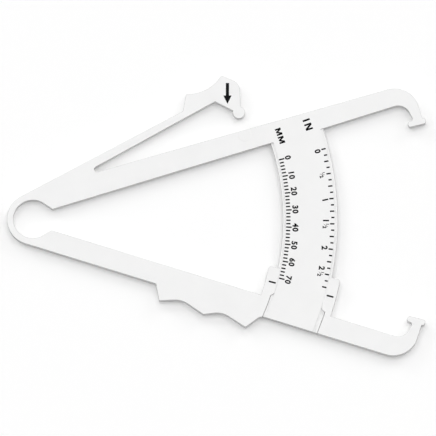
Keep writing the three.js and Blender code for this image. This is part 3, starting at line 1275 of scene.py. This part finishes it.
@dataclass(frozen=True)
class WhiteFloor:
    """A plain white table that keeps the caliper's soft shadow and is clear from below.

    Its drop is the gap under the caliper, and its lift the light that it adds to what the camera sees.
    """

    size: float = 12.0
    drop: float = 0.02 * MM
    colour: float = 0.871
    lift: float = 0.14

    def material(self) -> Material:
        """The table's paint, lifted to full white for what looks straight at it."""
        material = bpy.data.materials.new("white_table")
        material.use_nodes = True
        sketch = Sketch(material.node_tree)
        paint = sketch.add("ShaderNodeBsdfDiffuse", Color=(self.colour, self.colour, self.colour, 1.0))
        rays = sketch.add("ShaderNodeLightPath").outputs
        seen = sketch.highest(rays["Is Camera Ray"], rays["Is Glossy Ray"], rays["Is Transmission Ray"])
        lift = sketch.add("ShaderNodeMapRange", Value=seen, To_Max=self.lift)
        glow = sketch.add("ShaderNodeEmission", Strength=lift.outputs["Result"])
        lit = sketch.add("ShaderNodeAddShader", paint.outputs[0], glow.outputs[0])
        clear = sketch.add("ShaderNodeBsdfTransparent")
        below = sketch.add("ShaderNodeNewGeometry").outputs["Backfacing"]
        sides = sketch.add("ShaderNodeMixShader", below, lit.outputs[0], clear.outputs[0])
        sketch.add("ShaderNodeOutputMaterial", Surface=sides.outputs[0])
        return material

    def build(self) -> None:
        """Lays the table just under the caliper."""
        shape = bmesh.new()
        seat = Matrix.Translation((0.0, 0.0, -self.drop))
        bmesh.ops.create_grid(shape, x_segments=1, y_segments=1, size=self.size / 2.0, matrix=seat)
        table = piece_of("table", shape)
        table.data.materials.append(self.material())


def aimed(name: str, data: ID, azimuth: float, elevation: float, distance: float = 0.0) -> Object:
    """Puts up a lamp or a camera that looks down at the origin.

    Args:
        name: Its name.
        data: The lamp or the camera.
        azimuth: The direction in plan that it stands in.
        elevation: How high it stands, as an angle.
        distance: How far off it stands.

    Returns:
        The new object.
    """
    rise = math.radians(elevation)
    towards = ray(azimuth) * math.cos(rise) + Vector((0.0, 0.0, math.sin(rise)))
    thing = put_on_show(name, data)
    thing.location = towards * distance
    thing.rotation_mode = "QUATERNION"
    thing.rotation_quaternion = (-towards).to_track_quat("-Z", "Y")
    return thing


@dataclass(frozen=True)
class Lamp:
    """Wide soft light from one or more sides at one height.

    The light is the brightness that it gives to a level white surface.
    """

    name: str
    azimuths: tuple[float, ...]
    elevation: float
    light: float
    spread: float = 24.0

    def build(self) -> None:
        """Hangs a lamp on each side."""
        for azimuth in self.azimuths:
            sun = bpy.data.lights.new(self.name, "SUN")
            sun.angle = math.radians(self.spread)
            level_share = math.sin(math.radians(self.elevation)) * len(self.azimuths)
            sun.energy = math.pi * self.light / level_share
            aimed(self.name, sun, azimuth, self.elevation)


LAMPS = (
    Lamp("back_corners_high", azimuths=(45.0, 135.0), elevation=62.0, light=0.3),
    Lamp("back_corners_low", azimuths=(45.0, 135.0), elevation=22.0, light=0.15),
    Lamp("back", azimuths=(90.0,), elevation=40.0, light=0.09),
    Lamp("sides", azimuths=(0.0, 180.0), elevation=40.0, light=0.08),
    Lamp("sides_low", azimuths=(0.0, 180.0), elevation=22.0, light=0.03),
    Lamp("front_corners", azimuths=(225.0, 315.0), elevation=40.0, light=0.09),
    Lamp("front_high", azimuths=(270.0,), elevation=62.0, light=0.05),
    Lamp("overhead", azimuths=(90.0,), elevation=90.0, light=0.05),
)


@dataclass(frozen=True)
class Surroundings:
    """A dim even fill, which looks white to the camera and in reflections."""

    fill: float = 0.14
    reflection: float = 0.6

    def build(self) -> None:
        """Sets the world."""
        world = bpy.data.worlds.new("white_room")
        bpy.context.scene.world = world
        world.use_nodes = True
        sketch = Sketch(world.node_tree)
        rays = sketch.add("ShaderNodeLightPath").outputs
        dim = sketch.add(
            "ShaderNodeMapRange",
            Value=rays["Is Glossy Ray"],
            To_Min=self.fill,
            To_Max=self.reflection,
        )
        strength = sketch.highest(rays["Is Camera Ray"], rays["Is Transmission Ray"], dim.outputs["Result"])
        room = sketch.add("ShaderNodeBackground", Color=(1.0, 1.0, 1.0, 1.0), Strength=strength)
        sketch.add("ShaderNodeOutputWorld", Surface=room.outputs[0])


@dataclass(frozen=True)
class Viewpoint:
    """The photograph's camera: a long lens, 79 degrees above the table."""

    target: tuple[float, float, float] = (0.54 * MM, -0.95 * MM, PLATE_TOP)
    azimuth: float = 270.0
    elevation: float = 79.0
    distance: float = 5.0
    frame_width: float = 163.5 * MM
    sensor: float = 36.0
    clip: Pair = (0.05, 60.0)

    def build(self) -> None:
        """Sets up the camera and makes it the scene's."""
        camera = bpy.data.cameras.new("viewpoint")
        camera.sensor_width = self.sensor
        camera.lens = self.sensor * self.distance / self.frame_width
        camera.clip_start, camera.clip_end = self.clip
        viewpoint = aimed("viewpoint", camera, self.azimuth, self.elevation, self.distance)
        viewpoint.location += Vector(self.target)
        bpy.context.scene.camera = viewpoint


def main() -> None:
    """Builds the studio, the moulding and the print."""
    logging.basicConfig(level=logging.INFO, format="%(name)s: %(message)s")
    bpy.context.scene.view_settings.view_transform = "Standard"
    Viewpoint().build()
    Surroundings().build()
    for lamp in LAMPS:
        lamp.build()
    WhiteFloor().build()
    for moulding in (UpperLimb(), LowerLimb(), ThumbLever(), RING, NECK, PressMark()):
        moulding.build()
    for print_work in (MillimetreScale(), InchScale(), UnitMarks(), IndexMarks(), PressArrow()):
        print_work.build()


if __name__ == "__main__":
    main()
